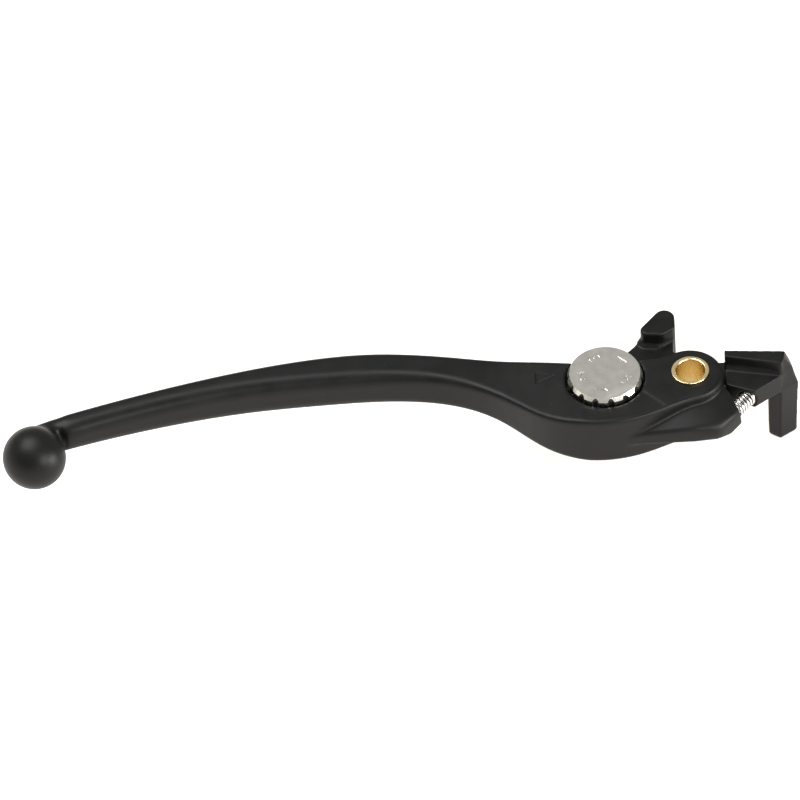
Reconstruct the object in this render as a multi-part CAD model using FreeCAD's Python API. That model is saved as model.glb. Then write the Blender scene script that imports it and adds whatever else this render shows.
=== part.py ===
"""Hydraulic control lever for a motorcycle handlebar, with a numbered reach adjuster.

Frame: origin on the pivot axis at mid thickness, +Z up along the pivot axis on the
dial side, +X inboard, the ball end at -X, and +Y towards the handlebar grip.
Millimetres. Every piece is written to its own STEP file.
"""
import FreeCAD, Part
import math
import os

V = FreeCAD.Vector
os.makedirs("parts", exist_ok=True)

# ---- driving dimensions -------------------------------------------------------
PIVOT_BORE_R = 4.0          # shoulder of an 8 mm pivot bolt
BUSH_R = 4.7
BUSH_FLANGE_R = 5.2
BUSH_FLANGE_THICK = 0.6
BUSH_CHAMFER = 0.45
RUNNING = 0.05              # radial clearance of the running fits
FACE_GAP = 0.05             # axial clearance between faces that turn on each other
RETAINER_R = 6.2
RETAINER_THICK = 0.6

HEAD_HALF = 8.0             # half thickness over the ears
HEAD_SKIN_STEP = 0.15       # the cast skin left of the machined ear lies this much lower
SLOT_HALF = 3.4             # half height of the slot between the ears
ARM_HALF = 3.3              # half thickness of the pusher arm inside the slot
EAR_R = 9.1                 # reach of the ears beyond the pivot axis, inboard
HUB_ROOM_R = 9.3            # the slot's front wall round the pivot
HUB_R = 8.7
HEAD_START = -29.0          # the head has its full thickness from here inboard

BLADE_HALF_TIP = 4.9        # half heights along the blade
BLADE_HALF_MID = 6.0
BLADE_HALF_WAIST = 5.55     # just before the head
FRONT_ROUND = 3.8           # the blade's front edges, where the fingers pull
BACK_ROUND = 2.3
HEAD_ROUND = 1.2
BLADE_MIDDLE_Y = 4.0        # the front edges have their middle before this, the back ones behind
ROUND_FROM, ROUND_TO = -100.0, -40.0    # the edge radius falls between these to HEAD_ROUND
BALL_R = 8.8
BALL_X, BALL_Y = -181.9, -12.5
NECK_HALF = 4.4
NECK_ROUND = 1.6
MARK_DEPTH = 0.3            # the triangle's engraved outline
COLLAR_GAP = 1.6            # the blade stops this far from the ball, and the neck spans the gap

DIAL_X, DIAL_Y = -23.6, -0.7
DIAL_R = 10.45
DIAL_TOP = 10.0
DIAL_UNDER = 5.6
DIAL_BEVEL = 0.63            # the steep bevel round the face: radial and axial size
DIAL_BEVEL_DROP = 1.25
DIAL_NOTCHES = 15
NOTCH_R = 1.25
NOTCH_DEPTH = 0.5
POSITIONS = 5
POSITION_STEP = 360.0 / POSITIONS
DIGIT_RING_R = 6.5
DIGIT_HEIGHT = 2.9
DIGIT_WIDTH = 1.5
DIGIT_STROKE = 0.4
DIGIT_DEPTH = 0.25
RECESS_R = 11.0
RECESS_FLOOR = 5.2
SEAL_RING_R = 5.0
SEAL_SECTION_R = 0.48
TRACK_R = 8.3
DETENT_R = 1.0
DETENT_Z = 5.5
DETENT_FLOOR = -2.0

CAM_LOW_R = 3.2             # snail cam: smallest and largest radius
CAM_RISE = 2.4
CAM_HALF = 3.0
CAM_ROOM_R = 6.7
CAM_DWELL = 22.0            # degrees of constant radius past each end of the rise
FIRST_TURN = -72.0          # dial angle of position 1; the part is drawn in position 2
LAST_TURN = 216.0
NOSE_R = 2.5
NOSE_GAP = 0.08

SPINDLE_R = 3.0
SPINDLE_FLAT_HALF = 2.2
JOURNAL_R = 2.2
SPINDLE_TOP_R = 2.5
SPINDLE_TOP = 8.6
CLIP_POCKET_R = 5.4
CLIP_POCKET_DEPTH = 2.3
CLIP_THICK = 0.6
CLIP_GROOVE_R = 1.75
CLIP_LOW = -7.1

LEVEL_ARM = 3.7             # top and underside of the arm outside the slot
DECK_UNDER = -2.8
ARM_BACK = 7.5              # plane of the arm's back face, which works the switch
HOOK_FOOT = -22.4
PUSHER_HALF = 8.0           # half height of the pusher post

SPRING_X, SPRING_Y = 14.4, -5.0
SPRING_TURN = 50.0          # direction of the spring axis, degrees from +X
SPRING_R = 2.3
SPRING_WIRE = 0.62
SPRING_BACK = 5.7           # lengths from the spring's reference point to its two ends
SPRING_FRONT = 2.9
SPRING_COILS = 7.5
POCKET_R = 2.6

FAR = 60.0


# ---- helpers ------------------------------------------------------------------
def curve(points):
    """Smooth edge through plan points."""
    spline = Part.BSplineCurve()
    spline.interpolate([V(x, y, 0) for x, y in points])
    return spline.toShape()


def parted_curve(points, stations):
    """The same curve as edges that meet at the given X stations."""
    edge = curve(points)
    marks = []
    for x in stations:
        low, high = edge.FirstParameter, edge.LastParameter
        rising = edge.valueAt(high).x > edge.valueAt(low).x
        for _ in range(50):
            middle = (low + high) / 2
            if (edge.valueAt(middle).x < x) == rising:
                low = middle
            else:
                high = middle
        marks.append(low)
    return edge.split(sorted(marks)).Edges


def polyline(points, z=0.0):
    corners = [V(x, y, z) for x, y in points]
    return Part.makePolygon(corners + corners[:1])


def prism(wire, low, high):
    """Solid between two heights from a closed plan wire at z = 0."""
    face = Part.Face(wire)
    face.translate(V(0, 0, low))
    return face.extrude(V(0, 0, high - low))


def slab(points, low, high):
    return prism(polyline(points), low, high)


def disc(x, y, radius, low, high):
    return Part.makeCylinder(radius, high - low, V(x, y, low))


def ring(x, y, inner, outer, low, high):
    return disc(x, y, outer, low, high).cut(disc(x, y, inner, low - 1, high + 1))


def joined(solids):
    return solids[0].multiFuse(solids[1:]).removeSplitter()


def hull(circles):
    """Taut outline round plan circles (x, y, radius), listed anticlockwise."""
    lines = []
    for (ax, ay, ar), (bx, by, br) in zip(circles, circles[1:] + circles[:1]):
        turn = math.atan2(by - ay, bx - ax) - math.acos((ar - br) / math.hypot(bx - ax, by - ay))
        reach = V(math.cos(turn), math.sin(turn), 0)
        lines.append((V(ax, ay, 0) + reach * ar, V(bx, by, 0) + reach * br))
    edges = []
    for (x, y, radius), before, after in zip(circles, lines[-1:] + lines[:-1], lines):
        middle = (before[1] + after[0]) * 0.5 - V(x, y, 0)
        edges.append(Part.Arc(before[1], V(x, y, 0) + middle.normalize() * radius,
                              after[0]).toShape())
        edges.append(Part.makeLine(*after))
    return Part.Wire(edges)


def polar(radius, degrees, centre=(0.0, 0.0)):
    angle = math.radians(degrees)
    return centre[0] + radius * math.cos(angle), centre[1] + radius * math.sin(angle)


def rounded(solid, radius_at):
    """Round each edge for which radius_at(edge) gives its radius at both ends."""
    document = FreeCAD.newDocument()
    base = document.addObject("Part::Feature")
    base.Shape = solid
    fillet = document.addObject("Part::Fillet")
    fillet.Base = base
    chosen = []
    for number, edge in enumerate(solid.Edges, 1):
        radii = radius_at(edge)
        if radii:
            chosen.append((number, radii[0], radii[1]))
    fillet.Edges = chosen
    document.recompute()
    shape = fillet.Shape.copy()
    FreeCAD.closeDocument(document.Name)
    return shape


def same_radius(radius, pick):
    return lambda edge: (radius, radius) if pick(edge) else None


def at_height(z):
    """Picks the level edges at height z."""
    def pick(edge):
        ends = edge.FirstParameter, edge.LastParameter
        heights = [edge.valueAt(ends[0] + share * (ends[1] - ends[0])).z for share in (0, 0.3, 1)]
        return max(abs(height - z) for height in heights) < 0.001
    return pick


def coil(radius, wire_radius, pitch, length, origin, direction):
    """Round wire wound as a helix from origin along direction."""
    path = Part.makeHelix(pitch, length - 2 * wire_radius, radius)
    section = Part.Wire([Part.Circle(V(radius, 0, 0), V(0, 1, 0), wire_radius).toShape()])
    spring = Part.Wire(path).makePipeShell([section], True, True)
    first_turn = origin + direction * wire_radius
    spring.Placement = FreeCAD.Placement(first_turn, FreeCAD.Rotation(V(0, 0, 1), direction))
    return spring


def save(shape, name):
    solids = shape.Solids
    if not shape.isValid() or not solids:
        raise RuntimeError(name + " is not a valid solid")
    body = solids[0] if len(solids) == 1 else Part.makeCompound(solids)
    body.exportStep("parts/%s.step" % name)
    print("%-18s %2d solid  %10.2f mm3" % (name, len(solids), body.Volume))


# ---- lever --------------------------------------------------------------------
FRONT_EDGE = [(-174.0, -8.2), (-160.0, -4.0), (-142.0, 0.4), (-120.0, 3.95), (-100.0, 5.2),
              (-82.0, 5.45), (-66.0, 3.1), (-52.0, -4.1), (-40.0, -13.6), (-26.0, -17.6),
              (-13.0, -15.5), (-5.0, -12.1), (1.5, -9.8)]
BACK_EDGE = [(-5.0, 7.6), (-14.0, 5.7), (-27.0, 5.5), (-38.0, 7.7), (-52.0, 10.6),
             (-70.0, 13.95), (-88.0, 15.95), (-106.0, 14.85), (-126.0, 11.5), (-150.0, 6.0),
             (-174.0, -0.65)]
SIDE_PROFILE = [(-176.0, BLADE_HALF_TIP), (-150.0, 5.5), (-135.0, 5.8), (-118.0, BLADE_HALF_MID),
                (-100.0, BLADE_HALF_MID), (-82.0, 5.85), (-66.0, 5.65),
                (-53.0, BLADE_HALF_WAIST), (-40.0, 6.85), (HEAD_START, HEAD_HALF)]
EAR_LINE = [(-13.3, -6.1), (-6.5, -12.9)]


def side_edges(sign):
    """Upper (+1) or lower (-1) edge of the side profile, seen along Y."""
    spline = Part.BSplineCurve()
    spline.interpolate([V(x, -FAR, sign * z) for x, z in SIDE_PROFILE])
    level = sign * HEAD_HALF
    return [spline.toShape(), Part.makeLine(V(HEAD_START, -FAR, level), V(FAR, -FAR, level))]


def side_solid():
    """Everything between the upper and the lower side profile."""
    first = V(SIDE_PROFILE[0][0], -FAR, BLADE_HALF_TIP)
    upper = side_edges(1)
    lower = side_edges(-1)
    ends = [Part.makeLine(V(FAR, -FAR, HEAD_HALF), V(FAR, -FAR, -HEAD_HALF)),
            Part.makeLine(first, V(first.x, first.y, -first.z))]
    side = Part.Wire(upper + [ends[0], lower[1], lower[0], ends[1]])
    return Part.Face(side).extrude(V(0, 2 * FAR, 0))


def blade_rounding(edge):
    """Edge radius, largest at the tip and down to HEAD_ROUND where the head starts."""
    box = edge.BoundBox
    if box.XMax - box.XMin < 0.5:
        return None
    largest = FRONT_ROUND if edge.CenterOfMass.y < BLADE_MIDDLE_Y else BACK_ROUND

    def radius(x):
        share = min(1.0, max(0.0, (ROUND_TO - x) / (ROUND_TO - ROUND_FROM)))
        return HEAD_ROUND + (largest - HEAD_ROUND) * share
    return tuple(radius(edge.valueAt(end).x) for end in (edge.FirstParameter, edge.LastParameter))


def blade_and_head():
    """The plan outline cut to the side profile, with its long edges rounded."""
    ear_tip = (EAR_R, -0.6)
    ear = Part.Arc(V(*FRONT_EDGE[-1], 0), V(*ear_tip, 0), V(*BACK_EDGE[0], 0)).toShape()
    tip = Part.makeLine(V(*BACK_EDGE[-1], 0), V(*FRONT_EDGE[0], 0))
    stations = [ROUND_FROM, ROUND_TO]
    outline = (parted_curve(FRONT_EDGE, stations) + [ear]
               + parted_curve(BACK_EDGE, stations) + [tip])
    plan = prism(Part.Wire(outline), -FAR, FAR)
    return rounded(plan.common(side_solid()), blade_rounding)


def ball_end():
    """The ball and the short thinner neck that carries it, along the blade's back edge."""
    ball = Part.makeSphere(BALL_R, V(BALL_X, BALL_Y, 0))
    neck_plan = [(-170.0, -1.3), (-174.3, -0.75), (-177.4, -1.6), (-180.5, -3.1),
                 (-183.0, -4.6), (BALL_X, BALL_Y), (-178.6, -7.2), (-170.0, -4.2)]
    neck = rounded(slab(neck_plan, -NECK_HALF, NECK_HALF),
                   lambda edge: (NECK_ROUND, NECK_ROUND) if at_height(NECK_HALF)(edge)
                   or at_height(-NECK_HALF)(edge) else None)
    return [ball, neck]


def collar_room():
    """The space round the ball that the end of the blade keeps clear of."""
    return Part.makeSphere(BALL_R + COLLAR_GAP, V(BALL_X, BALL_Y, 0))


def wing():
    """The web in front of the slot, which ends in the seat of the return spring."""
    bottom = -3.6
    front_bottom = -2.4
    front = -17.0
    back = 2.0
    sections = [(-23.0, -0.3, -16.5, 0.0), (-14.0, 1.35, -15.4, 2.2), (-6.5, 2.1, -12.6, 3.8),
                (1.0, 2.5, -9.2, 5.3), (8.0, 2.2, -6.0, 5.2), (16.0, -0.5, -4.0, 2.7)]
    wires = []
    for x, shoulder, wall_y, wall_z in sections:
        corners = [V(x, front, front_bottom), V(x, front, shoulder), V(x, wall_y, wall_z),
                   V(x, back, wall_z), V(x, back, bottom), V(x, front + 3.5, bottom)]
        wires.append(Part.makePolygon(corners + corners[:1]))
    body = Part.makeLoft(wires, True, False)
    outline = [(-22.0, -12.0), (-22.0, -18.0), (6.1, -18.0), (14.1, -10.1),
               (9.0, -3.1), (6.0, -2.5), (-4.0, -4.0)]
    body = body.common(slab(outline, bottom, HEAD_HALF))

    def outer(edge):
        """The front corner and the upper edges of the front and of the slanted end."""
        box = edge.BoundBox
        at_front = edge.CenterOfMass.y < -13.5 and box.ZMax > 0 and box.XMax > 5.0
        return (1.2, 1.2) if at_front and box.ZMax - box.ZMin > 1.0 else None
    return rounded(body, outer)


def slot_room():
    """The space between the ears that the pusher arm and the cam work in."""
    side = DIAL_X - CAM_ROOM_R
    passage = [(side, DIAL_Y), (-19.0, -5.5), (-6.0, -7.1), (9.1, -1.9), (FAR, -1.9),
               (FAR, FAR), (side, FAR)]
    return [disc(DIAL_X, DIAL_Y, CAM_ROOM_R, -SLOT_HALF, SLOT_HALF),
            disc(0, 0, HUB_ROOM_R, -SLOT_HALF, SLOT_HALF),
            slab(passage, -SLOT_HALF, SLOT_HALF)]


def dial_seat():
    """Everything that is bored into the head for the adjuster."""
    detent_y = DIAL_Y - TRACK_R
    return [disc(DIAL_X, DIAL_Y, RECESS_R, RECESS_FLOOR, FAR),
            disc(DIAL_X, DIAL_Y, SPINDLE_R + RUNNING, 0, RECESS_FLOOR + 1),
            disc(DIAL_X, DIAL_Y, JOURNAL_R + RUNNING, -FAR, 0),
            disc(DIAL_X, DIAL_Y, CLIP_POCKET_R, -FAR, -HEAD_HALF + CLIP_POCKET_DEPTH),
            ring(DIAL_X, DIAL_Y, SEAL_RING_R - 0.6, SEAL_RING_R + 0.6,
                 RECESS_FLOOR - 0.6, RECESS_FLOOR + 1),
            disc(DIAL_X, detent_y, DETENT_R + RUNNING, DETENT_FLOOR, RECESS_FLOOR + 1)]


def index_mark():
    """Engraved outline of the triangle that points at the chosen number."""
    outer = [(-42.7, 4.1), (-42.7, -0.5), (-37.0, 2.0)]
    inner = [(-42.25, 3.35), (-42.25, 0.2), (-38.3, 1.97)]
    below_surface = side_solid()
    below_surface.translate(V(0, 0, -MARK_DEPTH))
    return slab(outer, 0, FAR).cut([slab(inner, 0, FAR), below_surface])


def lever_body():
    blank = joined([blade_and_head().cut(collar_room())] + ball_end() + [wing()])
    skin = [EAR_LINE[0], EAR_LINE[1], (-6.5, -FAR), (-FAR, -FAR), (-FAR, FAR), (-15.0, FAR)]
    cuts = slot_room() + dial_seat()
    cuts.append(disc(0, 0, BUSH_R + RUNNING, -FAR, FAR))
    cuts.append(slab(skin, HEAD_HALF - HEAD_SKIN_STEP, FAR))
    cuts.append(index_mark())
    cuts.append(spring_pocket(-SPRING_BACK, 1.5))
    return blank.cut(cuts)


# ---- pivot --------------------------------------------------------------------
def pivot_bush():
    low = -HEAD_HALF - FACE_GAP - RETAINER_THICK
    flange_low = HEAD_HALF + FACE_GAP
    top = flange_low + BUSH_FLANGE_THICK
    bush = joined([disc(0, 0, BUSH_R, low, top), disc(0, 0, BUSH_FLANGE_R, flange_low, top)])
    bush = bush.cut(disc(0, 0, PIVOT_BORE_R, low - 1, top + 1))

    def radius(edge):
        box = edge.BoundBox
        is_rim = at_height(top)(edge)
        if is_rim and box.XMax < PIVOT_BORE_R + 0.1:
            return BUSH_CHAMFER, BUSH_CHAMFER
        if is_rim:
            return 0.15, 0.15
        return None
    return rounded(bush, radius)


def bush_retainer():
    low = -HEAD_HALF - FACE_GAP - RETAINER_THICK
    return ring(0, 0, BUSH_R, RETAINER_R, low, low + RETAINER_THICK)


# ---- pusher arm ---------------------------------------------------------------
POST_CIRCLES = [(-6.3, 21.3, 2.9), (-11.2, 16.95, 1.9), (-8.3, 18.2, 3.5), (-5.6, 18.4, 2.2)]
LEG_PLAN = [(24.9, 0.7), (29.9, 4.3), (28.4, 7.8), (21.4, 7.8), (21.4, 3.4)]
FOOT_PLAN = [(24.3, 0.8), (29.0, 4.0), (27.9, 7.8), (21.3, 7.8), (21.3, 2.9)]


def pusher_post():
    """The post that presses the piston, full thickness, with flared feet on the arm."""
    ends = same_radius(0.5, lambda edge: abs(abs(edge.CenterOfMass.z) - PUSHER_HALF) < 0.001)
    pieces = [rounded(prism(hull(POST_CIRCLES), -PUSHER_HALF, PUSHER_HALF), ends)]
    flare = [(x - 0.8, y - 0.8, radius + 0.4) for x, y, radius in POST_CIRCLES]
    for sign in (1, -1):
        wide = hull(flare)
        wide.translate(V(0, 0, sign * (ARM_HALF - 0.2)))
        narrow = hull(POST_CIRCLES)
        narrow.translate(V(0, 0, sign * (ARM_HALF + 1.2)))
        pieces.append(Part.makeLoft([wide, narrow], True))
    return pieces


def nose_centre():
    turn_share = -FIRST_TURN / (LAST_TURN - FIRST_TURN)
    return DIAL_X, DIAL_Y + CAM_LOW_R + CAM_RISE * turn_share + NOSE_R + NOSE_GAP


def arm_web():
    """The flat part of the arm, from the nose on the cam, round the bush, to the hook."""
    nose_x, nose_y = nose_centre()
    left = [(nose_x - 1.5, nose_y + 2.0), (-19.8, 10.4), (-16.0, 14.1), (-13.7, 17.0),
            (-13.0, 19.0)]
    right = [(-4.0, 18.0), (-4.2, 12.4), (2.0, 8.4)]
    inner = [(-8.4, -1.0), (-16.5, 2.7), (nose_x + 2.3, nose_y - 0.9), (nose_x, nose_y)]
    edge = [curve(left)]
    corners = [left[-1]] + right + inner + [left[0]]
    edge += [Part.makeLine(V(*a, 0), V(*b, 0)) for a, b in zip(corners, corners[1:])]
    link = [(-2.0, 8.4), (9.8, 7.4), (9.8, -1.0), (7.6, -3.6), (0.0, -6.0)]
    return [prism(Part.Wire(edge), -ARM_HALF, ARM_HALF),
            disc(0, 0, HUB_R, -ARM_HALF, ARM_HALF),
            disc(nose_x, nose_y, NOSE_R, -ARM_HALF, ARM_HALF),
            slab(link, -ARM_HALF, ARM_HALF)]


def hook_arm():
    """The arm outside the slot: spring seat, raised back block and hooked leg."""
    low_deck = [(9.7, -1.4), (10.7, -2.0), (17.4, -4.8), LEG_PLAN[0], (28.3, 4.0),
                (27.4, ARM_BACK), (9.7, ARM_BACK)]
    block = [(9.7, ARM_BACK), (9.7, 5.1), (25.2, 1.45), (26.4, 6.1)]
    deck = joined([slab(low_deck, DECK_UNDER, LEVEL_ARM), slab(block, 0, HEAD_HALF)])

    foot = Part.makeLoft([polyline([(9.7, 3.9), (24.6, 0.9), (24.6, 2.0), (9.7, 6.0)], LEVEL_ARM),
                          polyline([(9.7, 5.1), (24.6, 1.6), (24.6, 2.0), (9.7, 6.0)],
                                   LEVEL_ARM + 1.2)], True, True)
    at_under = [(20.0, 3.0)] + LEG_PLAN[:3] + [(20.0, 7.8)]
    at_deck = [(20.0, 3.0), (25.05, 1.0), (28.4, 4.0), (27.5, 7.4), (20.0, 7.5)]
    at_top = [(20.0, 3.0), (25.2, 1.3), (25.8, 3.3), (26.4, 6.1), (20.0, 6.63)]
    shoulder = Part.makeLoft([polyline(at_under, DECK_UNDER), polyline(at_deck, LEVEL_ARM),
                              polyline(at_top, HEAD_HALF)], True, True)
    leg = Part.makeLoft([polyline(FOOT_PLAN, HOOK_FOOT), polyline(LEG_PLAN, DECK_UNDER)],
                        True, True)
    behind = slab([(15.0, ARM_BACK), (FAR, ARM_BACK), (FAR, FAR), (15.0, FAR)], -FAR, FAR)
    leg = rounded(leg.cut(behind), same_radius(1.5, at_height(HOOK_FOOT)))
    return [deck, foot, shoulder.cut(behind), leg]


def pusher_arm():
    arm = joined(arm_web() + pusher_post() + hook_arm())
    return arm.cut([disc(0, 0, BUSH_R + RUNNING, -FAR, FAR),
                    spring_pocket(0.0, SPRING_FRONT)])


# ---- return spring ------------------------------------------------------------
def spring_line():
    along = V(*polar(1.0, SPRING_TURN), 0)
    return V(SPRING_X, SPRING_Y, 0), along


def spring_pocket(start, end):
    """Blind bore along the spring's axis, between two distances from its middle."""
    middle, along = spring_line()
    return Part.makeCylinder(POCKET_R, end - start, middle + along * start, along)


def return_spring():
    middle, along = spring_line()
    length = SPRING_BACK + SPRING_FRONT - 2 * FACE_GAP
    wire_radius = SPRING_WIRE / 2
    pitch = (length - SPRING_WIRE) / SPRING_COILS
    start = middle - along * (SPRING_BACK - FACE_GAP)
    return coil(SPRING_R - wire_radius, wire_radius, pitch, length, start, along)


# ---- reach adjuster -----------------------------------------------------------
DIGIT_STROKES = {
    1: [[(0.15, 0.75), (0.55, 1.0), (0.55, 0.0)]],
    2: [[(0.0, 0.8), (0.25, 1.0), (0.8, 1.0), (1.0, 0.75), (0.0, 0.0), (1.0, 0.0)]],
    3: [[(0.0, 0.9), (0.3, 1.0), (0.8, 1.0), (1.0, 0.78), (0.75, 0.55), (0.4, 0.55)],
        [(0.75, 0.55), (1.0, 0.28), (0.75, 0.0), (0.25, 0.0), (0.0, 0.12)]],
    4: [[(0.75, 0.0), (0.75, 1.0), (0.0, 0.3), (1.0, 0.3)]],
    5: [[(0.95, 1.0), (0.15, 1.0), (0.05, 0.55), (0.6, 0.62), (1.0, 0.32), (0.7, 0.0),
         (0.2, 0.0), (0.0, 0.12)]],
}
DIGIT_ONE_AT = 260.0
FIRST_NOTCH_AT = 13.0


def stroke(start, end):
    """One engraved stroke with round ends, at the height of the dial's face."""
    low = DIAL_TOP - DIGIT_DEPTH
    high = DIAL_TOP + 1
    run = V(end[0] - start[0], end[1] - start[1], 0)
    box = Part.makeBox(run.Length, DIGIT_STROKE, high - low, V(0, -DIGIT_STROKE / 2, low))
    turn = math.degrees(math.atan2(run.y, run.x))
    box.Placement = FreeCAD.Placement(V(*start, 0), FreeCAD.Rotation(V(0, 0, 1), turn))
    return [box, disc(*start, DIGIT_STROKE / 2, low, high), disc(*end, DIGIT_STROKE / 2, low, high)]


def digit(number):
    """Strokes of one number, its right side towards the dial's rim."""
    direction = DIGIT_ONE_AT - POSITION_STEP * (number - 1)
    pieces = []
    for line in DIGIT_STROKES[number]:
        points = []
        for across, up in line:
            outward = DIGIT_RING_R + (across - 0.5) * DIGIT_WIDTH
            sideways = (up - 0.5) * DIGIT_HEIGHT
            radius = math.hypot(outward, sideways)
            offset = math.degrees(math.atan2(sideways, outward))
            points.append(polar(radius, direction + offset, (DIAL_X, DIAL_Y)))
        for start, end in zip(points, points[1:]):
            pieces += stroke(start, end)
    return pieces


def adjuster_dial():
    centre = (DIAL_X, DIAL_Y)
    bevel_low = DIAL_TOP - DIAL_BEVEL_DROP
    bevel = Part.makeCone(DIAL_R, DIAL_R - DIAL_BEVEL, DIAL_BEVEL_DROP, V(*centre, bevel_low))
    dial = joined([disc(*centre, DIAL_R, DIAL_UNDER, bevel_low), bevel])
    cuts = [disc(*centre, SPINDLE_TOP_R, DIAL_UNDER - 1, SPINDLE_TOP)]
    for k in range(DIAL_NOTCHES):
        angle = FIRST_NOTCH_AT + k * 360.0 / DIAL_NOTCHES
        x, y = polar(DIAL_R + NOTCH_R - NOTCH_DEPTH, angle, centre)
        cuts.append(disc(x, y, NOTCH_R, DIAL_UNDER - 1, DIAL_TOP + 1))
    track = Part.makeTorus(TRACK_R, DETENT_R + RUNNING, V(*centre, DETENT_Z))
    cuts.append(track)
    for k in range(POSITIONS):
        x, y = polar(TRACK_R, 270.0 + k * POSITION_STEP, centre)
        cuts.append(Part.makeSphere(DETENT_R + 0.15, V(x, y, DETENT_Z + 0.15)))
    for number in DIGIT_STROKES:
        cuts += digit(number)
    return dial.cut(cuts)


def dial_spindle():
    centre = (DIAL_X, DIAL_Y)
    foot = -HEAD_HALF + 0.4
    upper = disc(*centre, SPINDLE_TOP_R, RECESS_FLOOR, SPINDLE_TOP)
    journal = disc(*centre, SPINDLE_R, CAM_HALF, DIAL_UNDER)
    key = disc(*centre, SPINDLE_R, -CAM_HALF, CAM_HALF)
    flats = Part.makeBox(FAR, 2 * SPINDLE_FLAT_HALF, FAR,
                         V(DIAL_X - FAR / 2, DIAL_Y - SPINDLE_FLAT_HALF, -FAR / 2))
    lower = disc(*centre, JOURNAL_R, foot, -CAM_HALF)
    groove = ring(*centre, CLIP_GROOVE_R, FAR, CLIP_LOW, CLIP_LOW + CLIP_THICK)
    return joined([upper, journal, key.common(flats), lower]).cut(groove)


def cam_radius(turn):
    """Radius under the nose when the dial stands at this turn."""
    share = (turn - FIRST_TURN) / (LAST_TURN - FIRST_TURN)
    return CAM_LOW_R + CAM_RISE * min(1.0, max(0.0, share))


def cam_point(turn):
    x, y = polar(cam_radius(turn), 90.0 - turn, (DIAL_X, DIAL_Y))
    return V(x, y, 0)


def snail_cam():
    """The radius grows evenly with the dial's turn, so every number adds the same reach."""
    steps = 18
    spiral = Part.BSplineCurve()
    span = LAST_TURN - FIRST_TURN
    spiral.interpolate([cam_point(FIRST_TURN + span * k / steps) for k in range(steps + 1)])
    low_end = FIRST_TURN - CAM_DWELL
    high_end = LAST_TURN + CAM_DWELL
    low_dwell = Part.Arc(cam_point(low_end), cam_point(FIRST_TURN - CAM_DWELL / 2),
                         cam_point(FIRST_TURN)).toShape()
    high_dwell = Part.Arc(cam_point(LAST_TURN), cam_point(LAST_TURN + CAM_DWELL / 2),
                          cam_point(high_end)).toShape()
    drop = Part.makeLine(cam_point(high_end), cam_point(low_end))
    cam = prism(Part.Wire([low_dwell, spiral.toShape(), high_dwell, drop]), -CAM_HALF, CAM_HALF)
    bore = disc(DIAL_X, DIAL_Y, SPINDLE_R, -FAR / 2, FAR / 2)
    flats = Part.makeBox(FAR, 2 * SPINDLE_FLAT_HALF, FAR,
                         V(DIAL_X - FAR / 2, DIAL_Y - SPINDLE_FLAT_HALF, -FAR / 2))
    return cam.cut(bore.common(flats))


def dial_seal():
    height = RECESS_FLOOR - 0.6 + SEAL_SECTION_R + 0.01
    return Part.makeTorus(SEAL_RING_R, SEAL_SECTION_R, V(DIAL_X, DIAL_Y, height))


def spindle_washer():
    return ring(DIAL_X, DIAL_Y, JOURNAL_R + RUNNING, 4.6, CLIP_LOW + CLIP_THICK + FACE_GAP,
                -HEAD_HALF + CLIP_POCKET_DEPTH - FACE_GAP)


def spindle_clip():
    """E-shaped clip in the spindle's groove."""
    clip = ring(DIAL_X, DIAL_Y, CLIP_GROOVE_R, 4.2, CLIP_LOW, CLIP_LOW + CLIP_THICK)
    mouth = slab([(DIAL_X - 1.5, DIAL_Y), (DIAL_X + 1.5, DIAL_Y),
                  (DIAL_X + 1.5, DIAL_Y + 9), (DIAL_X - 1.5, DIAL_Y + 9)], -FAR, FAR)
    cuts = [mouth]
    for angle in (150.0, 270.0, 30.0):
        x, y = polar(2.9, angle, (DIAL_X, DIAL_Y))
        cuts.append(disc(x, y, 0.75, -FAR, FAR))
    return clip.cut(cuts)


def detent_ball():
    return Part.makeSphere(DETENT_R, V(DIAL_X, DIAL_Y - TRACK_R, DETENT_Z))


def detent_spring():
    wire_radius = 0.14
    low = DETENT_FLOOR + FACE_GAP
    length = DETENT_Z - DETENT_R * 0.72 - low
    origin = V(DIAL_X, DIAL_Y - TRACK_R, low)
    return coil(0.62, wire_radius, (length - 2 * wire_radius) / 7, length, origin, V(0, 0, 1))


if __name__ == "__main__":
    for name, make in [
            ("lever_body", lever_body), ("pusher_arm", pusher_arm), ("pivot_bush", pivot_bush),
            ("bush_retainer", bush_retainer), ("return_spring", return_spring),
            ("adjuster_dial", adjuster_dial), ("dial_spindle", dial_spindle),
            ("snail_cam", snail_cam), ("dial_seal", dial_seal),
            ("spindle_washer", spindle_washer), ("spindle_clip", spindle_clip),
            ("detent_ball", detent_ball), ("detent_spring", detent_spring)]:
        save(make(), name)
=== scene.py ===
import math

import bmesh
import bpy
import numpy as np
from mathutils import Matrix, Vector


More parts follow.
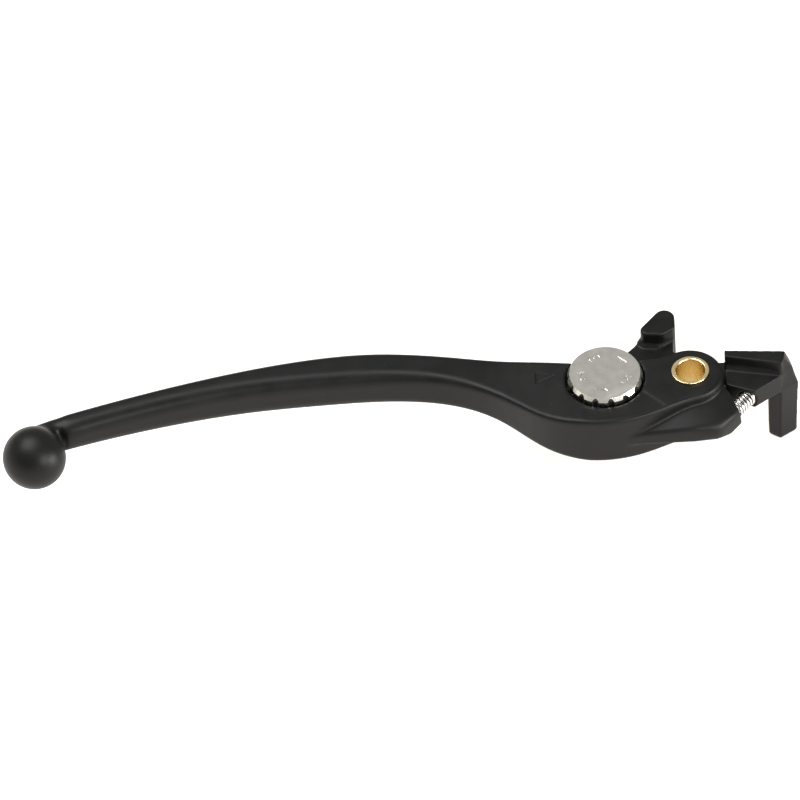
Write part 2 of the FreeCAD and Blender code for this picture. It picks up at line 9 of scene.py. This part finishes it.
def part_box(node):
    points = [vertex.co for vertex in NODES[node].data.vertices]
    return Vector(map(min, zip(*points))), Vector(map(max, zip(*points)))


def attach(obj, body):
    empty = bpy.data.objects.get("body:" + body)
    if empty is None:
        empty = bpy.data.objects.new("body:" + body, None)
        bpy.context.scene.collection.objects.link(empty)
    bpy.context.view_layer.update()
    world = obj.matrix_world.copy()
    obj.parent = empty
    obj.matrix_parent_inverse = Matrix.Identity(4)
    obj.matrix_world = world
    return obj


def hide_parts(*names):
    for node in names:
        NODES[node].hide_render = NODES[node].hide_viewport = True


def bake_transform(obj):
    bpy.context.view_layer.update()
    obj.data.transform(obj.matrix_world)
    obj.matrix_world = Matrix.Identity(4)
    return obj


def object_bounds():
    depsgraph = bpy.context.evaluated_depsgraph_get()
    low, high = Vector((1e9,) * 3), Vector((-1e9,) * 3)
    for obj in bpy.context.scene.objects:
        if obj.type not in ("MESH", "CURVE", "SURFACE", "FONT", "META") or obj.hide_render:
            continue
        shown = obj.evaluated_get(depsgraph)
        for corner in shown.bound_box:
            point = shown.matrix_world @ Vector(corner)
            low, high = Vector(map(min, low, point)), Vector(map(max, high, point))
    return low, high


MM = 0.001

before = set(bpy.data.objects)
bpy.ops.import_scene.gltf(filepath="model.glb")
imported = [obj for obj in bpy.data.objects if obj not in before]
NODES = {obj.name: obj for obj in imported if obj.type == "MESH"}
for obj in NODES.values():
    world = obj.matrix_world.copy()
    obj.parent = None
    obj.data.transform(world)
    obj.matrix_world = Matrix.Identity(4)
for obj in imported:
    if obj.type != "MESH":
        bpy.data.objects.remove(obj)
CAD_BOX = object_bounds()


def centre_of(node):
    low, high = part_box(node)
    return (low + high) / 2


DIAL_CENTRE = centre_of("dial_seal")


# ---- meshes -------------------------------------------------------------------
def add_object(name, data):
    made = bpy.data.objects.new(name, data)
    bpy.context.scene.collection.objects.link(made)
    return made


def points_of(mesh):
    flat = np.empty(len(mesh.vertices) * 3)
    mesh.vertices.foreach_get("co", flat)
    return flat.reshape(-1, 3)


def set_points(mesh, points):
    mesh.vertices.foreach_set("co", points.ravel())
    mesh.update()


def remeshed(node, name, voxel):
    """A copy of a CAD node with an even mesh, ready to be worked on."""
    source = add_object(name + "_source", NODES[node].data.copy())
    remesh = source.modifiers.new("even", "REMESH")
    remesh.mode = "VOXEL"
    remesh.voxel_size = voxel
    remesh.use_smooth_shade = True
    graph = bpy.context.evaluated_depsgraph_get()
    mesh = bpy.data.meshes.new_from_object(source.evaluated_get(graph), depsgraph=graph)
    bpy.data.objects.remove(source)
    mesh.materials.clear()
    return add_object(name, mesh)


def smooth(piece, passes, share=0.5):
    """Moves each vertex towards the middle of its neighbours; share may differ per vertex."""
    mesh = piece.data
    points = points_of(mesh)
    count = len(points)
    ends = np.empty(len(mesh.edges) * 2, int)
    mesh.edges.foreach_get("vertices", ends)
    first, second = ends[::2], ends[1::2]
    valence = np.bincount(ends, minlength=count)[:, None]
    step = np.broadcast_to(np.asarray(share, float), (count,))[:, None]
    for _ in range(passes):
        total = np.stack([np.bincount(first, points[second, axis], count)
                          + np.bincount(second, points[first, axis], count)
                          for axis in range(3)], 1)
        points += step * (total / valence - points)
    set_points(mesh, points)


def eased(share):
    """0 to 1 with a level start and end."""
    return share * share * (3 - 2 * share)


def near(points, centre, radius):
    """1 at the centre, falling smoothly to 0 at the radius."""
    distance = np.linalg.norm(points - np.array(centre), axis=1)
    return eased(np.clip(1 - distance / radius, 0, 1))


def soften(piece, spots):
    """Rounds the casting off around each spot: its place and reach in millimetres, then passes."""
    for place, reach, passes in spots:
        centre = [value * MM for value in place]
        smooth(piece, passes, 0.5 * near(points_of(piece.data), centre, reach * MM))


def keep_in_box(piece, node):
    low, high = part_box(node)
    set_points(piece.data, np.clip(points_of(piece.data), np.array(low), np.array(high)))


def stand_for(piece, node, body):
    keep_in_box(piece, node)
    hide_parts(node)
    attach(piece, body)


# ---- materials ----------------------------------------------------------------
# A colour Mix node has its colours at these places among its sockets.
MIX_FIRST, MIX_SECOND, MIX_RESULT = 6, 7, 2


class Finish:
    """One material's node tree, with object coordinates in metres."""

    def __init__(self, name, colour, metallic, roughness):
        self.material = bpy.data.materials.new(name)
        self.material.use_nodes = True
        self.tree = self.material.node_tree
        self.shader = self.tree.nodes["Principled BSDF"]
        self.shader.inputs["Base Color"].default_value = (*colour, 1)
        self.shader.inputs["Metallic"].default_value = metallic
        self.shader.inputs["Roughness"].default_value = roughness
        self.place = self.node("ShaderNodeTexCoord").outputs["Object"]

    def node(self, kind, **settings):
        made = self.tree.nodes.new(kind)
        for key, value in settings.items():
            setattr(made, key, value)
        return made

    def link(self, source, target):
        self.tree.links.new(source, target)

    def drive(self, name, value):
        self.link(value, self.shader.inputs[name])

    def mapped(self, scale=(1, 1, 1), shift=(0, 0, 0)):
        """Object coordinates times a scale for each axis, then shifted."""
        mapping = self.node("ShaderNodeMapping")
        mapping.inputs["Scale"].default_value = scale
        mapping.inputs["Location"].default_value = shift
        self.link(self.place, mapping.inputs["Vector"])
        return mapping.outputs["Vector"]

    def noise(self, size, detail=3.0):
        """Noise whose patches are about size metres across."""
        made = self.node("ShaderNodeTexNoise")
        made.inputs["Scale"].default_value = 1 / size
        made.inputs["Detail"].default_value = detail
        made.inputs["Roughness"].default_value = 0.55
        self.link(self.place, made.inputs["Vector"])
        return made.outputs["Fac"]

    def spots(self, spacing):
        """The distance to the nearest of many scattered points, as a share of their spacing."""
        made = self.node("ShaderNodeTexVoronoi")
        made.inputs["Scale"].default_value = 1 / spacing
        self.link(self.place, made.inputs["Vector"])
        return made.outputs["Distance"]

    def waves(self, place, size, distortion, detail, **kind):
        """Lathe marks as rings or bands, about three of them in size metres."""
        made = self.node("ShaderNodeTexWave", **kind)
        made.inputs["Scale"].default_value = 1 / size
        made.inputs["Distortion"].default_value = distortion
        made.inputs["Detail"].default_value = detail
        self.link(place, made.inputs["Vector"])
        return made.outputs["Fac"]

    def ranged(self, value, low, high, new_low=0.0, new_high=1.0):
        made = self.node("ShaderNodeMapRange")
        for key, number in (("From Min", low), ("From Max", high),
                            ("To Min", new_low), ("To Max", new_high)):
            made.inputs[key].default_value = number
        self.link(value, made.inputs["Value"])
        return made.outputs["Result"]

    def product(self, first, second):
        made = self.node("ShaderNodeMath", operation="MULTIPLY")
        self.link(first, made.inputs[0])
        self.link(second, made.inputs[1])
        return made.outputs[0]

    def mixed(self, share, first, second):
        """From first, where share is 0, to second; each is a colour or a socket."""
        made = self.node("ShaderNodeMix", data_type="RGBA")
        self.link(share, made.inputs["Factor"])
        for index, value in ((MIX_FIRST, first), (MIX_SECOND, second)):
            if isinstance(value, tuple):
                made.inputs[index].default_value = (*value, 1)
            else:
                self.link(value, made.inputs[index])
        return made.outputs[MIX_RESULT]

    def bump(self, height, depth, strength, under=None):
        """Adds a relief over the one before it, which is given as under."""
        made = self.node("ShaderNodeBump")
        made.inputs["Strength"].default_value = strength
        made.inputs["Distance"].default_value = depth
        self.link(height, made.inputs["Height"])
        if under:
            self.link(under, made.inputs["Normal"])
        self.link(made.outputs["Normal"], self.shader.inputs["Normal"])
        return made.outputs["Normal"]


def times(colour, *shares):
    """A colour darkened or lightened by one share, or by one for each channel."""
    return tuple(c * shares[k % len(shares)] for k, c in enumerate(colour))


MOTTLE_SIZE = 6.0 * MM
SKIN_SIZE, SKIN_DEPTH = 0.55 * MM, 0.02 * MM
SPECKLE_SIZE, SPECKLE_DEPTH = 0.13 * MM, 0.008 * MM
DUST_SPACING = 1.5 * MM
DUST_PATCHES = 3.1 * MM
DUST = (0.075, 0.073, 0.068)


def coat(name, tone, shine):
    """Satin black powder coat: soft mottling, a fine skin and a few specks of dust."""
    black = (tone, tone, tone)
    finish = Finish(name, black, metallic=0.0, roughness=0.42)
    mottle = finish.noise(MOTTLE_SIZE, detail=4)
    skin = finish.noise(SKIN_SIZE, detail=2)
    speckle = finish.noise(SPECKLE_SIZE, detail=2)
    dark = times(black, 0.82, 0.80, 0.77)
    light = times(black, 1.25, 1.20, 1.14)
    colour = finish.mixed(finish.ranged(mottle, 0.35, 0.65), dark, light)
    speck = finish.ranged(finish.spots(DUST_SPACING), 0.075, 0.045)
    rare = finish.ranged(finish.noise(DUST_PATCHES, detail=1), 0.61, 0.66)
    finish.drive("Base Color", finish.mixed(finish.product(speck, rare), colour, DUST))
    finish.drive("Roughness", finish.ranged(mottle, 0.3, 0.7, 0.38, 0.47))
    finish.shader.inputs["Specular IOR Level"].default_value = shine
    under = finish.bump(skin, SKIN_DEPTH, 0.35)
    finish.bump(speckle, SPECKLE_DEPTH, 0.5, under)
    return finish.material


CLOUD_SIZE = 2.5 * MM
# Lathe marks on faces and up a bore: what three of them take, and how deep they are.
FACE_MARKS, FACE_MARK_DEPTH = 1.4 * MM, 0.0012 * MM
BORE_MARKS, BORE_MARK_DEPTH = 2.2 * MM, 0.006 * MM
# The painted shade inside the bore ends between these two radii, just outside its wall.
BORE_SHADE_FULL, BORE_SHADE_GONE = 4.02 * MM, 4.12 * MM
# How dark the painted shade makes the bore's wall, as a share of the metal's colour.
BORE_SHADE = 0.78


def metal(name, colour, roughness, turned=None, grain=0.09 * MM, depth=0.004 * MM, bored=False):
    """Bare metal with a fine grain; turned gives the centre of the lathe marks on its faces.

    A bored piece has its bore on the Z axis, darkened inside as painted shade, with lathe marks up
    the wall."""
    finish = Finish(name, colour, 1.0, roughness)
    cloud = finish.noise(CLOUD_SIZE)
    tone = finish.mixed(finish.ranged(cloud, 0.35, 0.65), times(colour, 0.96), colour)
    if bored:
        # Painted shade: the metal is darker within the bore's radius.
        radius = finish.node("ShaderNodeVectorMath", operation="LENGTH")
        finish.link(finish.mapped(scale=(1, 1, 0)), radius.inputs[0])
        outside = finish.ranged(radius.outputs["Value"], BORE_SHADE_FULL, BORE_SHADE_GONE)
        tone = finish.mixed(outside, times(colour, BORE_SHADE), tone)
    finish.drive("Base Color", tone)
    finish.drive("Roughness", finish.ranged(cloud, 0.3, 0.7, roughness * 0.92, roughness * 1.1))
    under = finish.bump(finish.noise(grain, detail=2), depth, 0.6)
    if turned:
        from_centre = finish.mapped(shift=(-turned[0], -turned[1], 0))
        rings = finish.waves(from_centre, FACE_MARKS, distortion=0.6, detail=2.0,
                             wave_type="RINGS", rings_direction="Z")
        under = finish.bump(rings, FACE_MARK_DEPTH, 0.6, under)
    if bored:
        bands = finish.waves(finish.place, BORE_MARKS, distortion=1.5, detail=3.0,
                             wave_type="BANDS", bands_direction="Z")
        finish.bump(bands, BORE_MARK_DEPTH, 0.6, under)
    return finish.material


def rubber(name):
    """Matt black rubber with a fine moulded grain."""
    finish = Finish(name, (0.012, 0.012, 0.012), metallic=0.0, roughness=0.6)
    grain = finish.noise(0.2 * MM)
    finish.drive("Base Color", finish.mixed(grain, (0.009, 0.009, 0.009), (0.02, 0.02, 0.019)))
    finish.bump(grain, 0.01 * MM, 0.5)
    return finish.material


def paint(piece, material):
    piece.data.materials.clear()
    piece.data.materials.append(material)


def repaint(node, material):
    """Gives a CAD node a new material and leaves its mesh alone."""
    for slot in NODES[node].material_slots:
        slot.material = material


# ---- castings -----------------------------------------------------------------
LEVER_VOXEL, ARM_VOXEL = 0.33 * MM, 0.24 * MM
CAST_PASSES = 4
# Where the castings are rounder: place and reach in millimetres, and passes.
LEVER_SOFT_SPOTS = [((-175.6, -6.0, 2.5), 7.5, 140), ((7.0, -17.0, 2.0), 8.0, 120),
                    ((14.1, -10.0, 1.0), 7.0, 120)]
ARM_SOFT_SPOTS = [((25.5, 4.5, -22.0), 4.0, 20), ((28.4, 4.2, 0.5), 4.5, 24),
                  ((-8.0, 18.0, 8.0), 5.0, 6), ((-8.0, 18.0, -8.0), 5.0, 6)]
# The triangle's corners seen from above, a box that holds it and the skin around it, and how
# often the mesh in that box is halved.
TRIANGLE = [Vector(corner) * MM for corner in ((-42.5, 3.75), (-42.5, 0.0), (-37.6, 1.98))]
TRIANGLE_LOW = Vector((-43.6, -1.2, 5.5)) * MM
TRIANGLE_HIGH = Vector((-36.2, 5.0, 8.0)) * MM
TRIANGLE_HALVINGS = 2
# From the outline's line: half the groove's width, its wall, and where the skin is clear of it.
GROOVE_HALF = 0.36 * MM
GROOVE_WALL = 0.22 * MM
GROOVE_CLEAR = 0.75 * MM
GROOVE_DEPTH = 0.24 * MM


def distance_to_run(place, start, end):
    run = end - start
    share = max(0.0, min(1.0, (place - start).dot(run) / run.length_squared))
    return (place - start - run * share).length


def engraved_triangle(piece):
    """A triangle's outline engraved in the sloping top just before the head."""
    mesh = piece.data
    work = bmesh.new()
    work.from_mesh(mesh)

    def inside(vertex):
        return all(TRIANGLE_LOW[k] < vertex.co[k] < TRIANGLE_HIGH[k] for k in range(3))
    for _ in range(TRIANGLE_HALVINGS):
        edges = [e for e in work.edges if all(inside(v) for v in e.verts)]
        bmesh.ops.subdivide_edges(work, edges=edges, cuts=1, use_grid_fill=True)
    sides = list(zip(TRIANGLE, TRIANGLE[1:] + TRIANGLE[:1]))
    around = [v for v in work.verts if inside(v)]
    gaps = [min(distance_to_run(Vector(v.co[:2]), *side) for side in sides) for v in around]
    clear = [v.co for v, gap in zip(around, gaps) if gap > GROOVE_CLEAR]
    slope = np.polyfit([co.x for co in clear], [co.z for co in clear], 2)
    for vertex, gap in zip(around, gaps):
        share = min(1.0, max(0.0, (GROOVE_HALF - gap) / GROOVE_WALL))
        vertex.co.z = np.polyval(slope, vertex.co.x) - GROOVE_DEPTH * eased(share)
    work.to_mesh(mesh)
    work.free()
    mesh.update()


def casting(node, name, voxel, spots):
    """A CAD node with its edges rounded all over, and more so at the spots."""
    piece = remeshed(node, name, voxel)
    smooth(piece, CAST_PASSES)
    soften(piece, spots)
    return piece


def lever_casting():
    piece = casting("lever_body", "lever_casting", LEVER_VOXEL, LEVER_SOFT_SPOTS)
    engraved_triangle(piece)
    paint(piece, coat("coat_lever", tone=0.0044, shine=0.21))
    stand_for(piece, "lever_body", "lever")


def arm_casting():
    piece = casting("pusher_arm", "arm_casting", ARM_VOXEL, ARM_SOFT_SPOTS)
    paint(piece, coat("coat_arm", tone=0.0040, shine=0.20))
    stand_for(piece, "pusher_arm", "knocker")


# ---- dial ---------------------------------------------------------------------
# The low step across the dial's face: its distance from the axis, its bearing, the width of its
# slope and its depth.
STEP_REACH = 8.55 * MM
STEP_BEARING = math.radians(-64)
STEP_RUN = 0.2 * MM
STEP_DEPTH = 0.06 * MM
WELD = 0.001 * MM
CUT_TOLERANCE = 0.0005 * MM
LEVEL_TOLERANCE = 0.01 * MM
SHARP_ANGLE = math.radians(25)


def step_across_face(mesh):
    """Sinks the part of the dial's face beyond a straight line by a hair."""
    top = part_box("adjuster_dial")[1][2]
    towards = Vector((math.cos(STEP_BEARING), math.sin(STEP_BEARING), 0))
    work = bmesh.new()
    work.from_mesh(mesh)
    bmesh.ops.remove_doubles(work, verts=work.verts, dist=WELD)
    for reach in (STEP_REACH, STEP_REACH + STEP_RUN):
        whole = list(work.verts) + list(work.edges) + list(work.faces)
        bmesh.ops.bisect_plane(work, geom=whole, dist=CUT_TOLERANCE,
                               plane_co=DIAL_CENTRE + towards * reach, plane_no=towards)
    for vertex in work.verts:
        beyond = (vertex.co - DIAL_CENTRE).dot(towards) - STEP_REACH
        if vertex.co.z > top - LEVEL_TOLERANCE:
            vertex.co.z -= STEP_DEPTH * min(1.0, max(0.0, beyond / STEP_RUN))
    bmesh.ops.triangulate(work, faces=[f for f in work.faces if len(f.verts) > 4])
    for face in work.faces:
        face.smooth = True
    for edge in work.edges:
        edge.smooth = len(edge.link_faces) == 2 and edge.calc_face_angle() < SHARP_ANGLE
    work.to_mesh(mesh)
    work.free()


def dial_cap():
    piece = add_object("dial_cap", NODES["adjuster_dial"].data.copy())
    piece.data.attributes.remove(piece.data.attributes["custom_normal"])
    step_across_face(piece.data)
    paint(piece, metal("silver", (0.82, 0.80, 0.74), 0.24, turned=DIAL_CENTRE,
                       grain=0.2 * MM, depth=0.001 * MM))
    stand_for(piece, "adjuster_dial", "dial")


# ---- return spring ------------------------------------------------------------
SPRING_MIDDLE = Vector((14.4, -5.0, 0)) * MM
SPRING_BEARING = math.radians(50)
SPRING_ALONG = Vector((math.cos(SPRING_BEARING), math.sin(SPRING_BEARING), 0))
SPRING_FROM, SPRING_TO = -5.65 * MM, 2.85 * MM      # its ends, along from its middle
WIRE = 0.31 * MM                                    # the wire's radius
COIL = 1.99 * MM                                    # from the axis to the wire's middle
TURNS, CLOSED_TURNS = 8.2, 1.0                      # in all, and at each end
CLOSED_RISE = 0.63 * MM                             # in each closed turn
STEPS_PER_TURN, WIRE_SIDES = 40, 14
TANGENT_STEP = 0.01                                 # in turns


def round_from(first, second, turns):
    """The direction that is so many turns round from first, by way of second."""
    angle = 2 * math.pi * turns
    return first * math.cos(angle) + second * math.sin(angle)


def spring_coil():
    """Round wire, with one closed turn at each end."""
    length = SPRING_TO - SPRING_FROM - 2 * WIRE
    rise = (length - 2 * CLOSED_TURNS * CLOSED_RISE) / (TURNS - 2 * CLOSED_TURNS)
    side = Vector((0, 0, 1))
    across = SPRING_ALONG.cross(side)
    start = SPRING_MIDDLE + SPRING_ALONG * (SPRING_FROM + WIRE)

    def centre(turn):
        low = min(turn, CLOSED_TURNS) * CLOSED_RISE
        middle = max(0.0, min(turn, TURNS - CLOSED_TURNS) - CLOSED_TURNS) * rise
        high = max(0.0, turn - (TURNS - CLOSED_TURNS)) * CLOSED_RISE
        return start + SPRING_ALONG * (low + middle + high) + round_from(across, side, turn) * COIL
    work = bmesh.new()
    rings = []
    steps = int(TURNS * STEPS_PER_TURN)
    for k in range(steps + 1):
        turn = TURNS * k / steps
        middle = centre(turn)
        tangent = (centre(min(TURNS, turn + TANGENT_STEP))
                   - centre(max(0.0, turn - TANGENT_STEP))).normalized()
        outward = middle - start
        outward = (outward - SPRING_ALONG * outward.dot(SPRING_ALONG)).normalized()
        normal = (outward - tangent * outward.dot(tangent)).normalized()
        other = tangent.cross(normal)
        rings.append([work.verts.new(middle + round_from(normal, other, j / WIRE_SIDES) * WIRE)
                      for j in range(WIRE_SIDES)])
    for before, after in zip(rings, rings[1:]):
        for j in range(WIRE_SIDES):
            work.faces.new((before[j], before[j - 1], after[j - 1], after[j]))
    work.faces.new(rings[0])
    work.faces.new(list(reversed(rings[-1])))
    bmesh.ops.recalc_face_normals(work, faces=work.faces)
    for face in work.faces:
        face.smooth = len(face.verts) == 4
    mesh = bpy.data.meshes.new("spring_coil")
    work.to_mesh(mesh)
    work.free()
    piece = add_object("spring_coil", mesh)
    paint(piece, metal("spring_wire", (0.74, 0.73, 0.70), 0.22, grain=0.05 * MM))
    keep_in_box(piece, "return_spring")
    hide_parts("return_spring")
    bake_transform(piece)


# ---- pieces that keep their CAD shape -----------------------------------------
def repaint_the_rest():
    pivot_axis = (0, 0)
    zinc = metal("zinc_plate", (0.60, 0.58, 0.54), 0.32)
    detent = metal("detent_steel", (0.66, 0.65, 0.63), 0.18)
    finishes = {
        "pivot_bush": metal("brass", (0.95, 0.75, 0.40), 0.26, turned=pivot_axis, bored=True),
        "bush_retainer": metal("zinc_ring", (0.60, 0.58, 0.54), 0.35, turned=pivot_axis),
        "dial_spindle": metal("spindle", (0.55, 0.54, 0.52), 0.3, turned=DIAL_CENTRE),
        "snail_cam": metal("cam_steel", (0.52, 0.50, 0.47), 0.35, turned=DIAL_CENTRE),
        "spindle_washer": zinc,
        "spindle_clip": zinc,
        "detent_ball": detent,
        "detent_spring": detent,
        "dial_seal": rubber("seal_rubber"),
    }
    for node, material in finishes.items():
        repaint(node, material)


# ---- stage --------------------------------------------------------------------
# The camera stands far off and square to the lever, raised and turned about its own axis.
ELEVATION = math.radians(46.5)
ROLL = math.radians(2.9)
AIM = Vector((-80.4, -2.2, 4.8)) * MM
VIEW_WIDTH = 220.8 * MM
DISTANCE = 6.0
SENSOR = 36.0                             # millimetres, as Blender's lenses are
FAR_CLIP = 20.0
FLOOR_GAP = 0.3 * MM
FLOOR_HALF = 4.0
FLOOR_GLOW = 0.72
SKY_STRENGTH = 0.41
# Name, place, aim, side and watts of each soft box.
LIGHTS = [("key_box", (0.56, -0.83, 0.58), (-0.08, 0, 0), 0.5, 8.5),
          ("top_box", (-0.55, 0.22, 1.25), (-0.12, 0, 0), 0.9, 20.0),
          ("side_box", (0.75, -0.35, 0.15), (0, 0, 0), 0.3, 7.0)]


def add_camera():
    right = Vector((1, 0, 0))
    up = Vector((0, math.sin(ELEVATION), math.cos(ELEVATION)))
    back = Vector((0, -math.cos(ELEVATION), math.sin(ELEVATION)))
    tilted_right = right * math.cos(ROLL) - up * math.sin(ROLL)
    tilted_up = right * math.sin(ROLL) + up * math.cos(ROLL)
    data = bpy.data.cameras.new("camera")
    data.sensor_width = SENSOR
    data.lens = SENSOR * DISTANCE / VIEW_WIDTH
    data.clip_end = FAR_CLIP
    camera = add_object("camera", data)
    axes = Matrix((tilted_right, tilted_up, back)).transposed().to_4x4()
    camera.matrix_world = Matrix.Translation(AIM + back * DISTANCE) @ axes
    bpy.context.scene.camera = camera


def add_light(name, place, aim, side, watts):
    data = bpy.data.lights.new(name, "AREA")
    data.shape = "SQUARE"
    data.size = side
    data.energy = watts
    light = add_object(name, data)
    light.location = place
    light.rotation_euler = (Vector(aim) - Vector(place)).to_track_quat("-Z", "Y").to_euler()


def add_floor():
    """Pale paper, with a little light of its own that keeps it even."""
    level = CAD_BOX[0][2] - FLOOR_GAP
    corners = [(x * FLOOR_HALF, y * FLOOR_HALF, level)
               for x, y in ((-1, -1), (1, -1), (1, 1), (-1, 1))]
    mesh = bpy.data.meshes.new("floor")
    mesh.from_pydata(corners, [], [(0, 1, 2, 3)])
    floor = add_object("floor", mesh)
    paper = Finish("floor_paper", (0.55, 0.53, 0.50), metallic=0.0, roughness=0.9)
    paper.shader.inputs["Emission Color"].default_value = (1.0, 0.96, 0.90, 1)
    paper.shader.inputs["Emission Strength"].default_value = FLOOR_GLOW
    paint(floor, paper.material)


def add_studio():
    scene = bpy.context.scene
    scene.view_settings.view_transform = "Standard"
    world = bpy.data.worlds.new("studio")
    world.use_nodes = True
    sky = world.node_tree.nodes["Background"]
    sky.inputs["Color"].default_value = (1, 0.99, 0.97, 1)
    sky.inputs["Strength"].default_value = SKY_STRENGTH
    scene.world = world
    for light in LIGHTS:
        add_light(*light)


add_camera()
add_floor()
add_studio()
lever_casting()
arm_casting()
dial_cap()
spring_coil()
repaint_the_rest()
